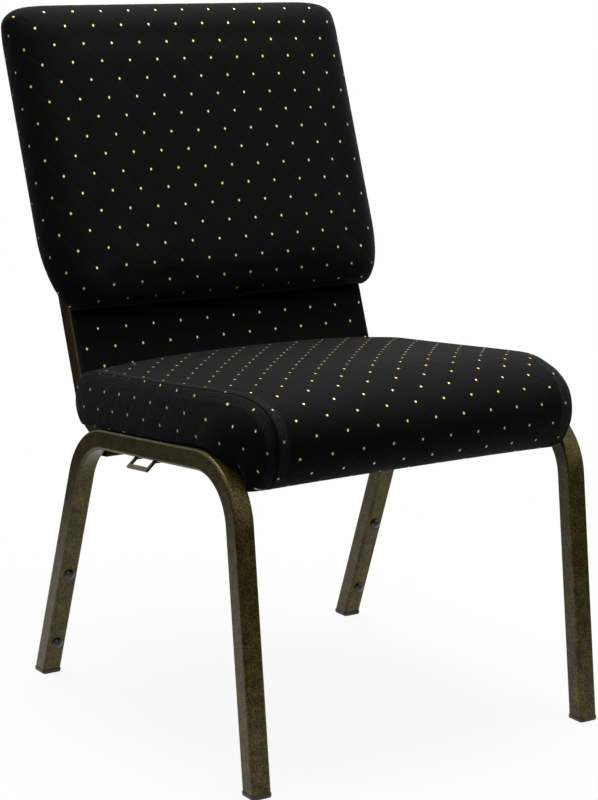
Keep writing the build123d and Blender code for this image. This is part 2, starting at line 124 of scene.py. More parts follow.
def open_edges(mesh):
    """How many directed edges have no partner running the other way. A closed shell has none."""
    start = np.empty(len(mesh.loops), np.int32)
    mesh.loops.foreach_get("vertex_index", start)
    first = np.empty(len(mesh.polygons), np.int32)
    mesh.polygons.foreach_get("loop_start", first)
    following = np.arange(1, len(start) + 1)
    following[np.append(first[1:], len(start)) - 1] = first
    forward = start.astype(np.int64) * len(mesh.vertices) + start[following]
    backward = start[following].astype(np.int64) * len(mesh.vertices) + start
    return int(len(start) - np.isin(forward, backward).sum())


def litres(mesh):
    """Volume inside a closed mesh: a sixth of the triple products of its triangles. It is positive where the
    faces look outward."""
    mesh.calc_loop_triangles()
    corners = np.empty(len(mesh.loop_triangles) * 3, np.int32)
    mesh.loop_triangles.foreach_get("vertices", corners)
    a, b, c = read_points(mesh)[corners.reshape(-1, 3)].transpose(1, 0, 2)
    return float((a * np.cross(b, c)).sum() / 6 * 1000)


# %% Sewing panels together
SEAM_REACH = 30.0
MERGE = 1e5


def seam_marks(distance, length):
    """Nearness to a seam, from 1 at the seam to 0 at the seam's reach, and the metres run along it."""
    return np.stack(np.broadcast_arrays(np.clip(1 - distance / SEAM_REACH, 0, 1), length * MM), axis=-1)


def grid_quads(rows, columns, first, flip):
    """Corner numbers of a grid's quads, with its points numbered row by row from first."""
    corner = first + (np.arange(rows - 1)[:, None] * columns + np.arange(columns - 1)).ravel()
    quads = np.stack([corner, corner + 1, corner + columns + 1, corner + columns], axis=1)
    return quads[:, ::-1] if flip else quads


def sew(name, panels):
    """One mesh object of panels. Each panel is a grid of points, its cloth coordinates, its seam marks and a
    flag that turns its faces over.

    Points that round to the same hundredth of a millimetre become one. A quad that loses a corner in this
    way becomes a triangle, and one that loses two goes.
    """
    starts = np.cumsum([0] + [panel[0][..., 0].size for panel in panels])
    quads = np.concatenate([grid_quads(*panel[0].shape[:2], first, panel[3])
                            for panel, first in zip(panels, starts)])
    points = np.concatenate([panel[0].reshape(-1, 3) for panel in panels])
    keys = np.round(points * MERGE).astype(np.int64)
    _, kept, same = np.unique(keys, axis=0, return_index=True, return_inverse=True)
    same = same.reshape(-1)
    repeat = same[quads] == np.roll(same[quads], 1, axis=1)
    whole = quads[repeat.sum(axis=1) == 0]
    pinched = repeat.sum(axis=1) == 1
    after = (np.argmax(repeat[pinched], axis=1)[:, None] + np.array([1, 2, 3])) % 4
    thirds = np.take_along_axis(quads[pinched], after, axis=1)
    mesh = bpy.data.meshes.new(name)
    mesh.from_pydata(points[kept].tolist(), [], same[whole].tolist() + same[thirds].tolist())
    corners = np.concatenate([whole.ravel(), thirds.ravel()])
    for layer, column in (("cloth", 1), ("seam", 2)):
        flat = np.concatenate([panel[column].reshape(-1, 2) for panel in panels])
        mesh.uv_layers.new(name=layer).data.foreach_set("uv", flat[corners].astype(np.float32).ravel())
    mesh.shade_smooth()
    piece = bpy.data.objects.new(name, mesh)
    scene.collection.objects.link(piece)
    print(name, "points:", len(mesh.vertices), "faces:", len(mesh.polygons), "open edges:", open_edges(mesh),
          "litres:", round(litres(mesh), 2))
    return piece


# %% [markdown]
# ## Stuffing: a short cloth simulation
# Foam pushes its cover out everywhere but at the seams. Cloth with air pressure does just that when the
# points of the seams are pinned. Gravity is off, twenty frames are enough, and no point may move further than
# a cap, so the cushion keeps the size that the CAD solid gave it.


# %% Stuffing helpers
def stuff(piece, held, pressure, cap, ease=1.0, frames=20):
    """Swells a cushion between the points that are held, by at most cap millimetres times ease, and keeps the
    result."""
    before = read_points(piece.data)
    group = piece.vertex_groups.new(name="held")
    group.add(np.flatnonzero(held).tolist(), 1.0, "REPLACE")
    cloth = piece.modifiers.new("stuffing", "CLOTH")
    fabric = cloth.settings
    fabric.quality = 6
    fabric.mass = 0.3
    fabric.tension_stiffness = fabric.compression_stiffness = 18
    fabric.shear_stiffness = 8
    fabric.bending_stiffness = 2.0
    fabric.use_pressure = True
    fabric.uniform_pressure_force = pressure
    fabric.vertex_group_mass = group.name
    fabric.effector_weights.gravity = 0
    for number in range(1, frames + 1):
        scene.frame_set(number)
    swollen = piece.evaluated_get(bpy.context.evaluated_depsgraph_get())
    moved = read_points(swollen.to_mesh()) - before
    swollen.to_mesh_clear()
    piece.modifiers.remove(cloth)
    piece.vertex_groups.remove(group)
    scene.frame_set(1)
    far = np.linalg.norm(moved, axis=1)
    moved *= (ease * np.minimum(1, cap * MM / np.maximum(far, 1e-9)))[:, None]
    piece.data.vertices.foreach_set("co", (before + moved).astype(np.float32).ravel())
    piece.data.update()
    print(piece.name, "swelled by up to mm:", round(float(far.max()) / MM, 1), "capped at", cap)


def distance_to(points, line):
    """Distance of each point from the nearest point of a line, in blocks to spare memory."""
    blocks = np.array_split(points, max(1, len(points) // 2000))
    return np.concatenate([np.linalg.norm(b[:, None] - line[None], axis=2).min(axis=1) for b in blocks])


def keep_crisp(piece, on_line, sharpness):
    """Marks the edges between points of a line, so that subdivision keeps them crisp."""
    ends = np.empty(len(piece.data.edges) * 2, np.int32)
    piece.data.edges.foreach_get("vertices", ends)
    both = on_line[ends.reshape(-1, 2)].all(axis=1)
    crease = piece.data.attributes.new("crease_edge", "FLOAT", "EDGE")
    crease.data.foreach_set("value", (both * sharpness).astype(np.float32))
    print(piece.name, "crisp edges:", int(both.sum()))


# %% [markdown]
# ## The seat cushion
# A top panel runs from the rear edge over the crown, rolls round the nose and turns up behind its lip. A side
# panel closes each end, and the seam between them is what the eye follows. The shape is three lines drawn in
# side view: the middle of the top panel, the seam, and the foot of the side panel. Each row of the cushion is
# a bridge between the three. The foot follows the leg's bend at the front, so no gap shows over the frame.

# %% Seat lines
# Each row: along and above for the middle; across, along and above for the seam and then for the foot; and
# how far the side panel bulges. All in millimetres, from the rear edge to the inside of the front lip.
SEAT_STATIONS = np.array([
    [84, 0.8, 236, 84, 0.8, 236, 84, 0.8, 0],
    [98, 8, 238, 96, 8, 244, 80, 0.8, 0],
    [109, 21, 239, 105, 20, 246.5, 76, 0.8, 0],
    [112, 38, 238, 107, 36, 247.5, 71, 0.8, 0],
    [110, 56, 236, 104, 50.5, 248, 66, 0.8, 0],
    [100, 68.5, 233, 94, 61.5, 248.5, 60, 0.8, 0],
    [82, 73, 231.5, 78, 65, 248.5, 52, 0.8, 0],
    [40, 73.5, 231, 38, 65, 248.5, 25, 0.8, 0],
    [-20, 73.5, 231, -20, 64.6, 248.5, -28, 0.8, 0],
    [-90, 73.5, 231, -90, 64.4, 248.5, -92, 0.8, 0],
    [-150, 73.5, 230, -150, 64.4, 248, -150, 0.8, 0],
    [-200, 73.2, 227, -200, 64.2, 246, -192, 0.8, 1],
    [-237, 71.5, 220, -232, 62.5, 245, -222, -1, 3],
    [-266, 66, 213, -259, 58, 241.5, -238, -7.6, 5],
    [-291, 55.5, 210, -285, 48.7, 234, -249, -14, 7],
    [-309, 40.5, 208.5, -303, 34, 227.5, -254.5, -19, 8],
    [-321, 21.5, 208, -310, 14.5, 223.5, -257, -26, 8],
    [-323.5, 2, 207.5, -308, -5.5, 222.5, -259, -32, 7],
    [-316.5, -18, 206, -299, -24, 222.5, -260.5, -38.5, 5],
    [-302, -33, 204.5, -287, -38, 222, -261.5, -43.5, 3],
    [-282, -41.5, 203, -273, -45, 219.5, -261.5, -46, 1],
    [-264, -38.5, 198, -260, -40.5, 211, -259.5, -43, 0],
    [-254, -19, 193, -252.5, -19, 199, -252.5, -19, 0],
    [-251, 0.8, 192, -251, 0.8, 192, -251, 0.8, 0],
])
SEAT_ROWS, SEAT_COLUMNS, SIDE_COLUMNS = 108, 69, 13

fine = np.linspace(0, len(SEAT_STATIONS) - 1, 1500)
fine_length = running_length(spline_through(SEAT_STATIONS, fine)[:, 0:2])
even = np.interp(np.linspace(0, fine_length[-1], SEAT_ROWS), fine_length, fine)
seat_lines = spline_through(SEAT_STATIONS, even)
middle, seam, foot, bulge = seat_lines[:, 0:2], seat_lines[:, 2:5], seat_lines[:, 5:8], seat_lines[:, 8:9]
seam_length = running_length(seam)[:, None]
print("Seat profile length in mm:", round(float(fine_length[-1]), 1))

# %% Seat panels
NOSE_DOT, NOSE_SLIP, NOSE_BLEND = (-324, 17), 5.2, 60
COLUMN_PLACES = (-330, -302, -277, -244, -193, -155, -116, -77.9, -39.7, -2.2, 34.2, 70.9, 107)
COLUMN_COUNT, COLUMN_PITCH = np.arange(-7, 6), 39.9
SIDE_SHEAR, SHEAR_HEIGHT, SHEAR_END, SHEAR_RUN = 0.47, 24.8, -260, 60
ROW_SHIFT, ROW_TILT, ROW_STRETCH, ROW_TURN, LEVEL_FROM, WIDEST = -28.9, -0.072, 1.071, 0.184, -40, 248.5
CROWN_POWER, SIDE_POWER = 2.4, 0.8
LIP_STATION, LIP_START, LIP_END, LIP_LIFT, LIP_SHARE = 12, -222, -251, 0.8, 0.12
across = np.linspace(-1, 1, SEAT_COLUMNS)


def seat_top():
    """Top panel: from seam to seam across, where the profile leaves the seam's line for the middle line by
    one minus a power of the distance across. Cloth: across by length along the profile, counted from a dot
    at the nose, with a small slip where the cloth is pulled over it."""
    crown = (1 - np.abs(across) ** CROWN_POWER)[None, :, None]
    profile = seam[:, None, 1:3] + (middle - seam[:, 1:3])[:, None] * crown
    x = across * seam[:, 0:1]
    length = running_length(middle)[:, None]
    dot_row = np.argmin(np.linalg.norm(middle - NOSE_DOT, axis=1))
    ahead_of_dot = length - length[dot_row]
    rows = ahead_of_dot + NOSE_SLIP * ramp(ahead_of_dot / NOSE_BLEND + 1)
    weave = np.stack(np.broadcast_arrays(x, rows), axis=-1) * MM
    marks = seam_marks(seam[:, 0:1] - np.abs(x), seam_length)
    return from_seat(x, profile[..., 0], profile[..., 1]), weave, marks


def seat_side(sign):
    """Side panel: straight down from the seam to the foot in side view. Across, it follows a power of the
    sine of a quarter turn plus a bulge, so it slopes at the seam and stands upright at the foot. Cloth: a
    table says where along the panel each column of dots stands, as the cloth is pulled round the nose. The
    columns slant with height, and the rows sink a little towards the front."""
    down = np.linspace(0, 1, SIDE_COLUMNS)
    turn = np.sin(down * np.pi / 2) ** SIDE_POWER
    x = seam[:, 0:1] + (foot - seam)[:, 0:1] * turn + bulge * 4 * down * (1 - down)
    along = seam[:, 1:2] + (foot - seam)[:, 1:2] * down
    above = seam[:, 2:3] + (foot - seam)[:, 2:3] * down
    shear = SIDE_SHEAR * ramp((along - SHEAR_END) / SHEAR_RUN)
    columns = np.interp(along - shear * (above - SHEAR_HEIGHT), COLUMN_PLACES, COLUMN_COUNT)
    sunk = ROW_SHIFT + ROW_TILT * np.minimum(along, LEVEL_FROM)
    rows = sunk + ROW_STRETCH * above + ROW_TURN * (WIDEST - x)
    weave = np.stack([columns * COLUMN_PITCH, rows], axis=-1) * MM
    points = from_seat(sign * x, along, above)
    return points, weave, seam_marks(running_length(points, axis=1) / MM, seam_length)


def seat_underside():
    """Underside: across from foot to foot. Within a small share of the width it leaves the foot for a flat
    line over the board, so behind the lip it stays out of sight."""
    inward = np.clip((1 - np.abs(across)) / LIP_SHARE, 0, 1)
    last = len(SEAT_STATIONS) - 1
    lip = np.interp(even, [LIP_STATION, last], [LIP_START, LIP_END])
    flat = np.where(even < LIP_STATION, foot[:, 1], lip)
    along = foot[:, 1:2] + (flat[:, None] - foot[:, 1:2]) * inward
    above = foot[:, 2:3] + (LIP_LIFT - foot[:, 2:3]) * inward
    points = from_seat(across * foot[:, 0:1], along, above)
    return points, points[..., 0:2], 0 * points[..., 0:2]


seat_cushion = sew("seat_cushion", [
    (*seat_top(), True),
    (*seat_side(-1), False),
    (*seat_side(1), True),
    (*seat_underside(), False),
])

# %% Stuff the seat
SAME_POINT, SEAM_SHARPNESS = 1e-4, 0.55
both_sides = np.array([-1, 1])[:, None]
seat_seams = from_seat(both_sides * seam[:, 0], seam[:, 1], seam[:, 2]).reshape(-1, 3)
seat_points = read_points(seat_cushion.data)
on_seam = distance_to(seat_points, seat_seams) < SAME_POINT
on_board = distance_to(seat_points, seat_underside()[0].reshape(-1, 3)) < SAME_POINT
stuff(seat_cushion, on_seam | on_board, pressure=4.0, cap=2.5)
keep_crisp(seat_cushion, on_seam, SEAM_SHARPNESS)

# %% [markdown]
# ## The back pillow
# The upper pad is a thick pillow with fully rounded sides. Its cloth wraps round the edges with no seam on
# the front. A cut across it is a flat oval: straight front and rear, and half ellipses at the sides. Ovals
# stacked up the back make the pillow; they thin out to a line at the top and tuck in under the foot. A power
# of the sine keeps the foot full and its lower edge tight, so the crease under it is deep and dark.

# %% Flat ovals
PAD_SIDE = 47.0
PAD_COLUMNS, PAD_TURN = 61, 13


def flat_ovals(half, front, rear, side, crown):
    """Flat ovals, one for each row of the sizes: points across and ahead, going round from the front left.
    The front is a shallow parabola, the sides are half ellipses and the rear is straight."""
    straight = np.linspace(-1, 1, PAD_COLUMNS)
    turn = np.linspace(0, np.pi, PAD_TURN + 2)[1:-1]
    flat, edge = half - side, front - crown
    centre, reach = (edge + rear) / 2, (edge - rear) / 2
    x = [flat * straight, flat + side * np.sin(turn), -flat * straight, -flat - side * np.sin(turn)]
    ahead = [front - crown * straight**2, centre + reach * np.cos(turn), rear + 0 * straight,
             centre - reach * np.cos(turn)]
    return np.concatenate(x, axis=1), np.concatenate(ahead, axis=1)


def wrapped(points, place, wrap, origin, lean=0.0):
    """Splits stacked ovals into a front panel that wraps wrap points round each side, and a rear panel.

    Cloth: length round the oval from its middle by place up the pillow, less the origin where a dot sits. The
    cloth may lean a little, as it was cut.
    """
    count = points.shape[1]
    panels = []
    for ids in (np.arange(-wrap, PAD_COLUMNS + wrap), np.arange(PAD_COLUMNS + wrap - 1, count - wrap + 1)):
        grid = points[:, ids % count]
        run = running_length(grid, axis=1) / MM
        around = run - run[:, run.shape[1] // 2, None]
        over_dot = place - origin[1]
        weave = np.stack(np.broadcast_arrays(around - origin[0] + lean * over_dot, over_dot), axis=-1) * MM
        panels.append((grid, weave, seam_marks(np.minimum(run, run[:, -1:] - run), place), False))
    return panels


# %% Back pillow
PILLOW_DOT, PILLOW_LEAN = (-4.3, 455.4), 0.0145
PAD_HALF, PAD_FOOT_HALF, PAD_FOOT, PAD_ROLL, PAD_TOP_ROLL = 247.0, 218.0, 122.0, 42.0, 50.0
PAD_FACE_RUN, PAD_FOOT_CORNER, PAD_TOP_CORNER, PAD_TOP_CORNER_RISE = 305.0, 85.0, 40.0, 22.0
PAD_FOOT_RUN, PAD_TOP_RUN, PAD_FOOT_POWER, PAD_ROWS = 68.0, 76.0, 0.42, 90
PAD_MIDDLE, PAD_DEEP, PAD_REAR, PAD_TUCK, PAD_CROWN, PAD_SLOPE = 16.0, 45.0, -32.0, 18.0, 2.0, 1.42
PAD_TOP = PAD_FOOT + PAD_ROLL + PAD_FACE_RUN + PAD_TOP_ROLL


def ellipse_drop(share):
    """How far a quarter ellipse falls short of its full width, from 0 to 1 as the share goes from 0 to 1."""
    return 1 - np.sqrt(1 - np.clip(share, 0, 1) ** 2)


pad_place = np.linspace(0, PAD_FOOT_RUN + PAD_FACE_RUN + PAD_TOP_RUN, PAD_ROWS)[:, None]
foot_turn = np.clip(pad_place / PAD_FOOT_RUN, 0, 1) * np.pi / 2
top_turn = np.clip((pad_place - PAD_FOOT_RUN - PAD_FACE_RUN) / PAD_TOP_RUN, 0, 1) * np.pi / 2
pad_face = np.clip(pad_place - PAD_FOOT_RUN, 0, PAD_FACE_RUN)
pad_height = PAD_FOOT + PAD_ROLL * (1 - np.cos(foot_turn)) + pad_face + PAD_TOP_ROLL * np.sin(top_turn)
foot_share = 1 - (pad_height - PAD_FOOT) / PAD_FOOT_CORNER
top_share = 1 - (PAD_TOP - pad_height) / PAD_TOP_CORNER_RISE
pad_half = (PAD_HALF - (PAD_HALF - PAD_FOOT_HALF) * ellipse_drop(foot_share)
            - PAD_TOP_CORNER * ellipse_drop(top_share))
pad_fade = np.cos(top_turn)
pad_front = PAD_MIDDLE + (PAD_TUCK - PAD_MIDDLE + PAD_DEEP * np.sin(foot_turn) ** PAD_FOOT_POWER) * pad_fade
pad_rear = PAD_MIDDLE + (PAD_REAR - PAD_MIDDLE) * pad_fade
pad_x, pad_ahead = flat_ovals(pad_half, pad_front, pad_rear, PAD_SIDE, PAD_CROWN * pad_fade)
pad_slant = np.clip(1 - (pad_height - PAD_FOOT) / (2 * PAD_FOOT_CORNER), 0, 1)
pad_up = pad_height + pad_slant * np.clip(PAD_TUCK - pad_ahead, 0, None) * PAD_SLOPE
pad_points = from_back(pad_x, pad_up, pad_ahead)


def pad_underside(ring, rows=12):
    """The pillow's slanted underside: straight strips from the front half of the lowest oval to its rear
    half, between the middles of its two ends."""
    middle_left = len(ring) - (PAD_TURN + 1) // 2
    steps = np.arange(PAD_COLUMNS + PAD_TURN + 1)
    ahead, behind = ring[(middle_left + steps) % len(ring)], ring[(middle_left - steps) % len(ring)]
    share = np.linspace(0, 1, rows)[:, None, None]
    points = ahead * (1 - share) + behind * share
    return points, points[..., 0:2], 0 * points[..., 0:2], True


PAD_WRAP = 11
pillow_origin = (PILLOW_DOT[0], PILLOW_DOT[1] - PAD_FOOT - PAD_ROLL + PAD_FOOT_RUN)
back_pillow = sew("back_pillow", wrapped(pad_points, pad_place, PAD_WRAP, pillow_origin, PILLOW_LEAN)
                  + [pad_underside(pad_points[0])])

# %% Stuff the pillow
# Only the front face swells, most in its middle, so the pillow's outline stays as it was cut.
FACE_EDGE = 70.0
pillow_x, pillow_up, pillow_ahead = to_back(read_points(back_pillow.data))
side_ease = ramp((PAD_HALF - PAD_SIDE / 2 - np.abs(pillow_x)) / FACE_EDGE)
foot_ease = ramp((pillow_up - PAD_FOOT) / FACE_EDGE)
top_ease = ramp((PAD_TOP - PAD_TOP_ROLL / 2 - pillow_up) / FACE_EDGE)
face_ease = side_ease * foot_ease * top_ease * (pillow_ahead > PAD_MIDDLE)
stuff(back_pillow, face_ease == 0, pressure=4.0, cap=4.0, ease=face_ease)

# %% [markdown]
# ## The lower back panel
# Under the pillow a thin pad covers the board. It is made of the same flat ovals, with a flat rear that lies
# on the board and edges that roll down to it. Its upper edge is tucked up behind the pillow.

# %% Lower panel
PANEL_DOT = (9.6, 99.3)
PANEL_ROWS, PANEL_HALF, PANEL_SIDE = 34, 219.0, 12.0
PANEL_FOOT, PANEL_TOP, PANEL_REAR, PANEL_FRONT, PANEL_ROLL = 36.0, 121.7, 0.3, 16.0, 0.35
PANEL_TUCK_POWER, PANEL_SLOPE = 4, 1.25
panel_turn = np.linspace(0, np.pi, PANEL_ROWS)[:, None]
panel_roll = np.clip(np.sin(panel_turn) / PANEL_ROLL, 0, 1)
panel_middle, panel_reach = (PANEL_TOP + PANEL_FOOT) / 2, (PANEL_TOP - PANEL_FOOT) / 2
panel_height = panel_middle - panel_reach * np.cos(panel_turn)
panel_front = PANEL_REAR + (PANEL_FRONT - PANEL_REAR) * (1 - ellipse_drop(1 - panel_roll))
panel_front[[0, -1]] = PANEL_REAR
panel_tuck = np.clip((panel_height - panel_middle) / panel_reach, 0, 1) ** PANEL_TUCK_POWER
panel_x, panel_ahead = flat_ovals(
    PANEL_HALF + 0 * panel_turn, panel_front, PANEL_REAR + 0 * panel_turn, PANEL_SIDE, 0 * panel_turn)
panel_up = panel_height + panel_tuck * (PAD_TUCK - panel_ahead) * PANEL_SLOPE
panel_points = from_back(panel_x, panel_up, panel_ahead)
lower_panel = sew("lower_back_panel", wrapped(panel_points, panel_height, PAD_WRAP, PANEL_DOT))
lower_x, _, lower_ahead = to_back(read_points(lower_panel.data))
panel_held = (lower_ahead < PANEL_FRONT - 1) | (np.abs(lower_x) > PANEL_HALF - 2 * PANEL_SIDE)
stuff(lower_panel, panel_held, pressure=3.0, cap=1.5)

# %% [markdown]
# ## Node helpers
# A material is a graph of small operations. A few helpers keep the graphs short to write: one adds a node and
# fills or links its inputs, others add a piece of arithmetic, a soft step or a blend of two colours. Effects
# that several finishes share become node groups with named inputs and outputs.


# %% Node helpers
def add_node(tree, kind, inputs=None, **settings):
    """Adds a shader node, sets its properties, and sets or links its inputs by name or number."""
    made = tree.nodes.new("ShaderNode" + kind)
    for key, value in settings.items():
        setattr(made, key, value)
    for key, value in (inputs or {}).items():
        if isinstance(value, bpy.types.NodeSocket):
            tree.links.new(value, made.inputs[key])
        else:
            made.inputs[key].default_value = value
    return made


def calc(tree, operation, *values):
    """One piece of arithmetic on sockets or numbers; gives the output socket."""
    return add_node(tree, "Math", dict(enumerate(values)), operation=operation).outputs[0]


def soft_step(tree, value, low, high):
    """A smooth ramp from 0 where value is low to 1 where it is high; low may be the larger of the two."""
    made = add_node(tree, "MapRange", {0: value, 1: low, 2: high}, interpolation_type="SMOOTHSTEP")
    return made.outputs[0]


def blend_colours(tree, factor, first, second):
    """The first colour where factor is 0 and the second where it is 1."""
    mixed = add_node(tree, "Mix", {0: factor, 6: first, 7: second}, data_type="RGBA")
    return mixed.outputs[2]


def new_group(name, inputs, outputs):
    """An empty node group: its tree, its input sockets and its output sockets."""
    group = bpy.data.node_groups.new(name, "ShaderNodeTree")
    for label, kind, value in inputs:
        socket = group.interface.new_socket(label, in_out="INPUT", socket_type="NodeSocket" + kind)
        if value is not None:
            socket.default_value = value
    for label, kind in outputs:
        group.interface.new_socket(label, in_out="OUTPUT", socket_type="NodeSocket" + kind)
    return group, group.nodes.new("NodeGroupInput").outputs, group.nodes.new("NodeGroupOutput").inputs


def new_material(name):
    """A material with an empty Principled shader: the material, its tree and the shader's inputs."""
    material = bpy.data.materials.new(name)
    material.use_nodes = True
    tree = material.node_tree
    return material, tree, tree.nodes["Principled BSDF"].inputs


def place_group(tree, group, **values):
    """Puts a node group into a material with its own values and gives its outputs."""
    made = tree.nodes.new("ShaderNodeGroup")
    made.node_tree = group
    for key, value in values.items():
        socket = made.inputs[key.replace("_", " ")]
        if isinstance(value, bpy.types.NodeSocket):
            tree.links.new(value, socket)
        else:
            socket.default_value = value
    return made.outputs


def bump(tree, height, distance, strength=1.0):
    """A normal from a height of 0 to 1 that stands for distance metres."""
    return add_node(tree, "Bump", {"Height": height, "Distance": distance, "Strength": strength}).outputs[0]


# %% [markdown]
# ## The woven cloth
# The cover is a black jacquard: fine upright ribs, a lattice of faint diamond lines, and a small gold dot at
# every crossing. In the cloth's own coordinates the crossings are where two slanting counts are both whole
# numbers. So the nearest dot, its distance and the distance to the lines are all found with a few roundings.

# %% Dotted lattice group
DOT_PITCH, ROW_PITCH = 0.0399, 0.0239
DOT_EDGE, CORE_EDGE, LINE_EDGE = (1.25, 0.85), (1.0, 0.5), (1.6, 0.4)
lattice, enter, leave = new_group(
    "dotted_lattice",
    [("Cloth", "Vector", None), ("Dot Width", "Float", 0.0016), ("Dot Height", "Float", 0.0021),
     ("Line Width", "Float", 0.0009), ("Quilt Edge", "Float", 0.006), ("Rib Pitch", "Float", 0.0021)],
    [("Dot", "Float"), ("Core", "Float"), ("Line", "Float"), ("Quilt", "Float"), ("Rib", "Float")],
)
cloth_axes = add_node(lattice, "SeparateXYZ", {0: enter["Cloth"]}).outputs
across_count = calc(lattice, "DIVIDE", cloth_axes[0], DOT_PITCH)
up_count = calc(lattice, "DIVIDE", cloth_axes[1], 2 * ROW_PITCH)
slants = [calc(lattice, sign, across_count, up_count) for sign in ("ADD", "SUBTRACT")]
whole = [calc(lattice, "ROUND", slant) for slant in slants]
part = [calc(lattice, "SUBTRACT", slant, number) for slant, number in zip(slants, whole)]
dot_across = calc(lattice, "MULTIPLY", calc(lattice, "ADD", *part), DOT_PITCH / 2)
dot_up = calc(lattice, "MULTIPLY", calc(lattice, "SUBTRACT", *part), ROW_PITCH)
oval_x = calc(lattice, "DIVIDE", dot_across, enter["Dot Width"])
oval_y = calc(lattice, "DIVIDE", dot_up, enter["Dot Height"])
squares = [calc(lattice, "MULTIPLY", side, side) for side in (oval_x, oval_y)]
oval = calc(lattice, "SQRT", calc(lattice, "ADD", *squares))
lattice.links.new(soft_step(lattice, oval, *DOT_EDGE), leave["Dot"])
lattice.links.new(soft_step(lattice, oval, *CORE_EDGE), leave["Core"])
SLANT_METRE = float(np.hypot(1 / DOT_PITCH, 0.5 / ROW_PITCH))
nearest = calc(lattice, "MINIMUM", *[calc(lattice, "ABSOLUTE", share) for share in part])
from_line = calc(lattice, "DIVIDE", nearest, SLANT_METRE)
line_share = calc(lattice, "DIVIDE", from_line, enter["Line Width"])
lattice.links.new(soft_step(lattice, from_line, 0.0, enter["Quilt Edge"]), leave["Quilt"])
lattice.links.new(soft_step(lattice, line_share, *LINE_EDGE), leave["Line"])
rib_turn = calc(lattice, "MULTIPLY", calc(lattice, "DIVIDE", cloth_axes[0], enter["Rib Pitch"]), 2 * np.pi)
lattice.links.new(calc(lattice, "MULTIPLY_ADD", calc(lattice, "SINE", rib_turn), 0.5, 0.5), leave["Rib"])
print("Lattice lines per metre along a slant:", round(SLANT_METRE, 1))

# %% Surface mottle group
# Slow and fine noise in one: the small unevenness that every real surface has.
mottle, enter, leave = new_group(
    "surface_mottle",
    [("Coarse", "Float", 60.0), ("Fine", "Float", 900.0)],
    [("Slow", "Float"), ("Grain", "Float")],
)
place = add_node(mottle, "TexCoord").outputs["Object"]
for label, scale in (("Slow", "Coarse"), ("Grain", "Fine")):
    noise = add_node(mottle, "TexNoise", {"Vector": place, "Scale": enter[scale], "Detail": 3.0})
    mottle.links.new(noise.outputs["Fac"], leave[label])

# %% [markdown]
# ## The sewn seams
# A seam shows as a dark groove, and a row of stitches beside it pulls the cloth into small puckers. The seam
# map says how near a seam is and how far along it a point lies, which is all that the group needs.

# %% Sewn seam group
STITCH_NEAR, STITCH_WIDTH, STITCH_PITCH = 0.72, 0.035, 0.006
GROOVE_EDGE, GROOVE_DEEP, PUCKER_REACH, RIPPLES = 0.91, 0.97, 0.28, 160.0
seam_group, enter, leave = new_group(
    "sewn_seam",
    [("Seam", "Vector", None)],
    [("Groove", "Float"), ("Stitch", "Float"), ("Pucker", "Float")],
)
near, along_seam, _ = add_node(seam_group, "SeparateXYZ", {0: enter["Seam"]}).outputs
seam_group.links.new(soft_step(seam_group, near, GROOVE_EDGE, GROOVE_DEEP), leave["Groove"])
off_row = calc(seam_group, "SUBTRACT", near, STITCH_NEAR)
from_row = calc(seam_group, "ABSOLUTE", off_row)
in_row = soft_step(seam_group, from_row, STITCH_WIDTH, STITCH_WIDTH / 3)
stitch_turn = calc(seam_group, "MULTIPLY", along_seam, 2 * np.pi / STITCH_PITCH)
thread = soft_step(seam_group, calc(seam_group, "SINE", stitch_turn), -0.5, 0.1)
seam_group.links.new(calc(seam_group, "MULTIPLY", in_row, thread), leave["Stitch"])
ripple = add_node(seam_group, "TexNoise", {"Vector": enter["Seam"], "Scale": RIPPLES, "Detail": 2.0})
near_row = soft_step(seam_group, from_row, PUCKER_REACH, 0.02)
rippled = soft_step(seam_group, ripple.outputs["Fac"], 0.38, 0.68)
seam_group.links.new(calc(seam_group, "MULTIPLY", near_row, rippled), leave["Pucker"])
print("Stitches per centimetre:", round(0.01 / STITCH_PITCH, 1))

# %% [markdown]
# ## The cloth's finish
# The ground is a near black that is a little lighter on the ribs, along the lattice lines and where the cloth
# is worn, and paler still where a seam puckers it: a painted highlight on the puckers. The dots are gold
# thread with a darker rim, and partly metallic, so they shine where the lamps reach them. All the small
# reliefs add up to one bump height. A weak sheen stands for the fuzz that makes the seat's top look greyer at
# a low angle.

# %% Cloth material
GOLD, GOLD_RIM = (0.98, 0.80, 0.36, 1), (0.14, 0.065, 0.012, 1)
CLOTH_BLACK, CLOTH_LINE = (0.0027, 0.0027, 0.0027, 1), (0.0070, 0.0069, 0.0068, 1)
CLOTH_RIB, CLOTH_WORN = (0.0048, 0.0047, 0.0046, 1), (0.0060, 0.0059, 0.0058, 1)
# PUCKER_HIGHLIGHT is a painted highlight: the pale colour of the puckers beside a row of stitches.
THREAD_BLACK, PUCKER_HIGHLIGHT = (0.0006, 0.0006, 0.0006, 1), (0.026, 0.026, 0.026, 1)
WORN_SHARE, LINE_SHARE = 0.6, 0.35
CLOTH_DULL, CLOTH_DULL_SPREAD, DOT_POLISH, DOT_METAL = 0.62, 0.2, -0.25, 0.65
RELIEFS = {"Rib": 0.3, "Line": -0.3, "Dot": 0.8, "Quilt": 0.4, "Pucker": 2.2, "Stitch": -1.6, "Groove": -4.0}
RELIEF_HEIGHT = 0.0004

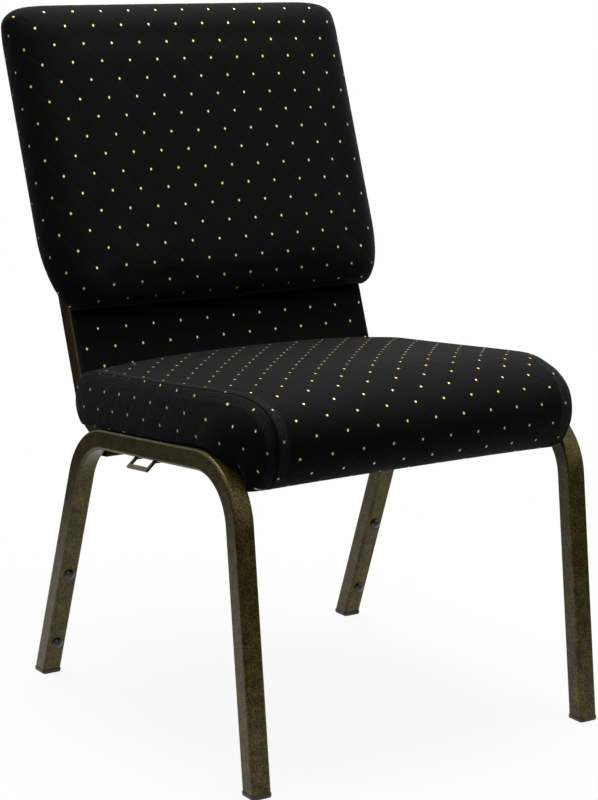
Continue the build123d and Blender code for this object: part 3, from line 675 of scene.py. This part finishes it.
dotted_cloth, tree, shader = new_material("dotted_cloth")
pattern = place_group(tree, lattice, Cloth=add_node(tree, "UVMap", uv_map="cloth").outputs[0])
sewing = place_group(tree, seam_group, Seam=add_node(tree, "UVMap", uv_map="seam").outputs[0])
wear = place_group(tree, mottle, Coarse=22.0, Fine=1400.0)
worn = soft_step(tree, wear["Slow"], 0.42, 0.68)
ground = blend_colours(tree, calc(tree, "MULTIPLY", pattern["Rib"], wear["Grain"]), CLOTH_BLACK, CLOTH_RIB)
ground = blend_colours(tree, calc(tree, "MULTIPLY", worn, WORN_SHARE), ground, CLOTH_WORN)
ground = blend_colours(tree, calc(tree, "MULTIPLY", pattern["Line"], LINE_SHARE), ground, CLOTH_LINE)
# Painted highlight: the cloth is painted paler on the puckers beside the stitches, where they would catch
# light.
ground = blend_colours(tree, sewing["Pucker"], ground, PUCKER_HIGHLIGHT)
ground = blend_colours(tree, calc(tree, "MAXIMUM", sewing["Groove"], sewing["Stitch"]), ground, THREAD_BLACK)
gold = blend_colours(tree, pattern["Core"], GOLD_RIM, GOLD)
tree.links.new(blend_colours(tree, pattern["Dot"], ground, gold), shader["Base Color"])
dull = calc(tree, "MULTIPLY_ADD", wear["Slow"], CLOTH_DULL_SPREAD, CLOTH_DULL)
tree.links.new(calc(tree, "MULTIPLY_ADD", pattern["Core"], DOT_POLISH, dull), shader["Roughness"])
tree.links.new(calc(tree, "MULTIPLY", pattern["Core"], DOT_METAL), shader["Metallic"])
relief = 0.0
for label, share in RELIEFS.items():
    source = sewing if label in sewing else pattern
    relief = calc(tree, "MULTIPLY_ADD", source[label], share, relief)
tree.links.new(bump(tree, relief, RELIEF_HEIGHT), shader["Normal"])
shader["Specular IOR Level"].default_value = 0.04
shader["Sheen Weight"].default_value = 0.08
shader["Sheen Roughness"].default_value = 0.36
shader["Sheen Tint"].default_value = (0.9, 0.9, 1.0, 1)
print("Cloth nodes:", len(tree.nodes))

# %% [markdown]
# ## The frame's coat
# The steel is sprayed with a black enamel that crawls as it dries and lets gold show through, so the tubes
# have a fine dark and gold grain with a gloss on top. One fine noise parts the gold from the black and a
# slower one makes some stretches darker. The same field drives the relief. It reads Object coordinates, so
# the grain is one size on every tube. The gold flakes are half metallic, and a thin clear coat gives the
# bends their bright edge.

# %% Frame coat
DRIFT_SCALE, DRIFT_SHARE, GOLD_FROM_TO = 0.08, 0.25, (0.46, 0.62)
coat_grain, enter, leave = new_group(
    "crawled_enamel",
    [("Grain Size", "Float", 0.0011)],
    [("Gold", "Float"), ("Height", "Float")],
)
place = add_node(coat_grain, "TexCoord").outputs["Object"]
count = calc(coat_grain, "DIVIDE", 1.0, enter["Grain Size"])
grains = add_node(coat_grain, "TexNoise", {"Vector": place, "Scale": count, "Detail": 2.0, "Roughness": 0.6})
slower = calc(coat_grain, "MULTIPLY", count, DRIFT_SCALE)
drift = add_node(coat_grain, "TexNoise", {"Vector": place, "Scale": slower, "Detail": 2.0}).outputs["Fac"]
darker = calc(coat_grain, "SUBTRACT", drift, 0.5)
level = calc(coat_grain, "MULTIPLY_ADD", darker, DRIFT_SHARE, grains.outputs["Fac"])
coat_grain.links.new(soft_step(coat_grain, level, *GOLD_FROM_TO), leave["Gold"])
coat_grain.links.new(grains.outputs["Fac"], leave["Height"])

COAT_ROUGH, COAT_ROUGH_SPREAD, GOLD_METAL = 0.24, 0.16, 0.5
CLEAR_COAT, CLEAR_COAT_SPREAD, GRAIN_HEIGHT, GRAIN_STRENGTH = 0.06, 0.2, 0.0005, 0.4
ENAMEL_BLACK, ENAMEL_GOLD = (0.0065, 0.0048, 0.0014, 1), (0.168, 0.124, 0.024, 1)
frame_coat, tree, shader = new_material("gold_crawled_enamel")
grain = place_group(tree, coat_grain)
dust = place_group(tree, mottle, Coarse=14.0, Fine=500.0)
tree.links.new(blend_colours(tree, grain["Gold"], ENAMEL_BLACK, ENAMEL_GOLD), shader["Base Color"])
tree.links.new(calc(tree, "MULTIPLY_ADD", dust["Slow"], COAT_ROUGH_SPREAD, COAT_ROUGH), shader["Roughness"])
tree.links.new(calc(tree, "MULTIPLY", grain["Gold"], GOLD_METAL), shader["Metallic"])
tree.links.new(calc(tree, "MULTIPLY_ADD", dust["Slow"], CLEAR_COAT_SPREAD, CLEAR_COAT), shader["Coat Weight"])
tree.links.new(bump(tree, grain["Height"], GRAIN_HEIGHT, GRAIN_STRENGTH), shader["Normal"])
shader["Specular IOR Level"].default_value = 0.25
shader["Specular Tint"].default_value = (1.0, 0.84, 0.5, 1)
shader["Coat Roughness"].default_value = 0.09

# %% [markdown]
# ## Plastics, boards and fasteners
# The glides and bumpers are moulded in black plastic, the boards are plywood stained dark, the underside is
# closed with a thin felted sheet, and the bolts are zinc plated. Each gets its own grain and roughness, from
# the same mottle group where that fits.


# %% Plain finishes
GRAIN_SHARE = 0.6


def mottled(name, dark, light, coarse, fine, rough, spread, relief, metallic=0.0):
    """A finish whose colour goes from dark to light with slow and fine noise, with its own roughness."""
    material, tree, shader = new_material(name)
    noise = place_group(tree, mottle, Coarse=coarse, Fine=fine)
    slow_part = calc(tree, "MULTIPLY", noise["Slow"], 1 - GRAIN_SHARE)
    mix = calc(tree, "MULTIPLY_ADD", noise["Grain"], GRAIN_SHARE, slow_part)
    tree.links.new(blend_colours(tree, soft_step(tree, mix, 0.35, 0.65), dark, light), shader["Base Color"])
    tree.links.new(calc(tree, "MULTIPLY_ADD", noise["Slow"], spread, rough), shader["Roughness"])
    tree.links.new(bump(tree, noise["Grain"], relief), shader["Normal"])
    shader["Metallic"].default_value = metallic
    return material


glide_plastic = mottled("glide_plastic", (0.006, 0.007, 0.006, 1), (0.016, 0.018, 0.015, 1),
                        coarse=40, fine=900, rough=0.3, spread=0.2, relief=0.0002)
bumper_plastic = mottled("bumper_plastic", (0.003, 0.003, 0.003, 1), (0.008, 0.008, 0.008, 1),
                         coarse=90, fine=1200, rough=0.12, spread=0.15, relief=0.0001)
lining_cloth = mottled("lining_cloth", (0.006, 0.006, 0.006, 1), (0.016, 0.016, 0.016, 1),
                       coarse=120, fine=1600, rough=0.8, spread=0.15, relief=0.0004)
zinc_steel = mottled("zinc_steel", (0.35, 0.36, 0.37, 1), (0.62, 0.63, 0.64, 1),
                     coarse=150, fine=1500, rough=0.28, spread=0.2, relief=0.0001, metallic=1.0)
plywood = mottled("stained_plywood", (0.010, 0.008, 0.006, 1), (0.024, 0.019, 0.014, 1),
                  coarse=30, fine=700, rough=0.6, spread=0.25, relief=0.0003)

# %% [markdown]
# ## Who wears what
# Each CAD node finds its finish by a word in its name, and the first word that fits wins. Each cushion takes
# the place of the CAD solids that it stands for, and rides on the chair's one body.

# %% Give every node and piece its finish
FINISHES = {
    "frame_coat": frame_coat, "glide_plastic": glide_plastic, "bumper_plastic": bumper_plastic,
    "lining_cloth": lining_cloth, "zinc_steel": zinc_steel, "plywood": plywood, "dotted_fabric": dotted_cloth,
}
NODE_SLOTS = (
    ("glide", "glide_plastic"), ("bumper", "bumper_plastic"), ("dust_cover", "lining_cloth"),
    ("bolts", "zinc_steel"), ("t_nuts", "zinc_steel"), ("board", "plywood"), ("cover", "dotted_fabric"),
    ("foam", "lining_cloth"), ("lower_pad", "dotted_fabric"), ("", "frame_coat"),
)
for name, node in nodes.items():
    finish = FINISHES[next(slot for word, slot in NODE_SLOTS if word in name)]
    node.data.materials.clear()
    node.data.materials.append(finish)

CUSHIONS = {
    seat_cushion: (("seat_cover", "seat_foam"), 0.9),
    back_pillow: (("back_cover", "back_rear_cover", "back_foam"), 0.9),
    lower_panel: (("back_lower_pad",), 0.8),
}
for piece, (replaced, fill) in CUSHIONS.items():
    piece.data.materials.append(dotted_cloth)
    smooth = piece.modifiers.new("smooth", "SUBSURF")
    smooth.levels = smooth.render_levels = 1
    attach(piece, "root")
    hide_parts(*replaced)
print("Finished nodes:", len(nodes), "cushions:", len(CUSHIONS))

# %% [markdown]
# ## The studio
# A broad lamp overhead and a weaker one high at the front light the chair. The camera stands where the
# photographer stood: its place and turn were worked out from the legs' feet and the seat's corners.

# %% Camera
FOCAL_PIXELS, IMAGE_HEIGHT, SENSOR = 2231.1, 800, 36.0
camera_data = bpy.data.cameras.new("camera")
camera_data.sensor_width = SENSOR
camera_data.lens = FOCAL_PIXELS * SENSOR / IMAGE_HEIGHT
camera_data.clip_end = 300
camera = bpy.data.objects.new("camera", camera_data)
scene.collection.objects.link(camera)
to_right, to_top = Vector((0.837084, -0.547034, 0.006592)), Vector((0.106892, 0.175361, 0.978684))
turned = Matrix((to_right, to_top, to_right.cross(to_top))).transposed().to_4x4()
camera.matrix_world = Matrix.Translation((-1.4928, -2.3039, 0.9487)) @ turned
scene.camera = camera
scene.view_settings.view_transform = "Standard"


# %% Lamps
def soft_lamp(name, at, target, size, watts):
    """A square area lamp that looks at a target."""
    data = bpy.data.lights.new(name, "AREA")
    data.size, data.energy = size, watts
    lamp = bpy.data.objects.new(name, data)
    lamp.location = at
    lamp.rotation_euler = (Vector(target) - Vector(at)).to_track_quat("-Z", "Y").to_euler()
    scene.collection.objects.link(lamp)


soft_lamp("overhead_lamp", at=(0.1, 0.25, 2.6), target=(0.1, 0, 0.4), size=1.9, watts=68)
soft_lamp("front_lamp", at=(0.8, -1.5, 2.8), target=(0, 0, 0.6), size=1.4, watts=16)

# %% [markdown]
# ## Floor and background
# The floor takes the chair's soft shadow, and further out it simply glows white for the camera, so no edge or
# horizon shows. To other rays the paper near the chair is a mid grey and the floor beyond is painted dark, a
# painted shade for the lamp's fall-off. Reflections also see a painted glow on the paper near the chair: that
# is what makes the lower legs bright, while the dark floor beyond keeps the rails dark. The world is white to
# the camera, brighter above than at the horizon to reflections, and dim as a light.

# %% Floor
FLOOR_SIZE, FLOOR_DROP = 120.0, -0.0003
SHADOW_NEAR, SHADOW_FAR, SHADOW_GLOW = 0.3, 0.8, 0.92
PAPER_NEAR, PAPER_FAR, PAPER_SHINE = 0.6, 1.4, 0.95
WHITE, FAR_FLOOR_SHADE = (1, 1, 1, 1), (0.03, 0.03, 0.03, 1)
PAPER_DIM, PAPER_PALE = (0.38, 0.38, 0.38, 1), (0.42, 0.42, 0.42, 1)
corners = np.array([[-1, -1], [1, -1], [1, 1], [-1, 1]]) * FLOOR_SIZE
floor_mesh = bpy.data.meshes.new("floor")
floor_mesh.from_pydata(np.column_stack([corners, np.full(4, FLOOR_DROP)]).tolist(), [], [(0, 1, 2, 3)])
floor = bpy.data.objects.new("floor", floor_mesh)
scene.collection.objects.link(floor)
floor_paint, tree, shader = new_material("floor_paint")
paper = place_group(tree, mottle, Coarse=3.0, Fine=200.0)
paper_tone = blend_colours(tree, paper["Slow"], PAPER_DIM, PAPER_PALE)
spot = add_node(tree, "TexCoord").outputs["Object"]
out_from_chair = add_node(tree, "VectorMath", {0: spot}, operation="LENGTH").outputs["Value"]
seen = add_node(tree, "LightPath").outputs
around_chair = soft_step(tree, out_from_chair, PAPER_NEAR, PAPER_FAR)
# Painted shade: to rays other than the camera's, the floor beyond the chair is painted dark.
bounced = blend_colours(tree, around_chair, paper_tone, FAR_FLOOR_SHADE)
tree.links.new(blend_colours(tree, seen["Is Camera Ray"], bounced, WHITE), shader["Base Color"])
shader["Roughness"].default_value = 0.9
shader["Specular IOR Level"].default_value = 0.1
glow = add_node(tree, "Emission", {"Strength": 1.0})
fade = soft_step(tree, out_from_chair, SHADOW_NEAR, SHADOW_FAR)
white_share = calc(tree, "MULTIPLY_ADD", fade, 1 - SHADOW_GLOW, SHADOW_GLOW)
bare = calc(tree, "MULTIPLY", seen["Is Camera Ray"], white_share)
# Painted glow: for reflections, the paper near the chair glows although it is no lamp.
near_paper_glow = calc(tree, "MULTIPLY", calc(tree, "SUBTRACT", 1.0, around_chair), PAPER_SHINE)
bare = calc(tree, "MAXIMUM", bare, calc(tree, "MULTIPLY", seen["Is Glossy Ray"], near_paper_glow))
painted = tree.nodes["Principled BSDF"].outputs[0]
mixed = add_node(tree, "MixShader", {0: bare, 1: painted, 2: glow.outputs[0]})
tree.links.new(mixed.outputs[0], tree.nodes["Material Output"].inputs[0])
floor_mesh.materials.append(floor_paint)

# %% World
WORLD_LIGHT = 0.15
HORIZON_LOW, HORIZON_HIGH, HORIZON_GLOW = -0.05, 0.4, 0.03
world = bpy.data.worlds.new("studio")
world.use_nodes = True
scene.world = world
tree = world.node_tree
seen = add_node(tree, "LightPath").outputs
direct = calc(tree, "MAXIMUM", seen["Is Camera Ray"], seen["Is Transmission Ray"])
skyward = add_node(tree, "SeparateXYZ", {0: add_node(tree, "TexCoord").outputs["Generated"]}).outputs[2]
above_horizon = soft_step(tree, skyward, HORIZON_LOW, HORIZON_HIGH)
sky_share = calc(tree, "MULTIPLY_ADD", above_horizon, 1 - HORIZON_GLOW, HORIZON_GLOW)
direct = calc(tree, "MAXIMUM", direct, calc(tree, "MULTIPLY", seen["Is Glossy Ray"], sky_share))
lit = calc(tree, "MULTIPLY_ADD", direct, 1 - WORLD_LIGHT, WORLD_LIGHT)
tree.links.new(lit, tree.nodes["Background"].inputs["Strength"])
tree.nodes["Background"].inputs["Color"].default_value = WHITE
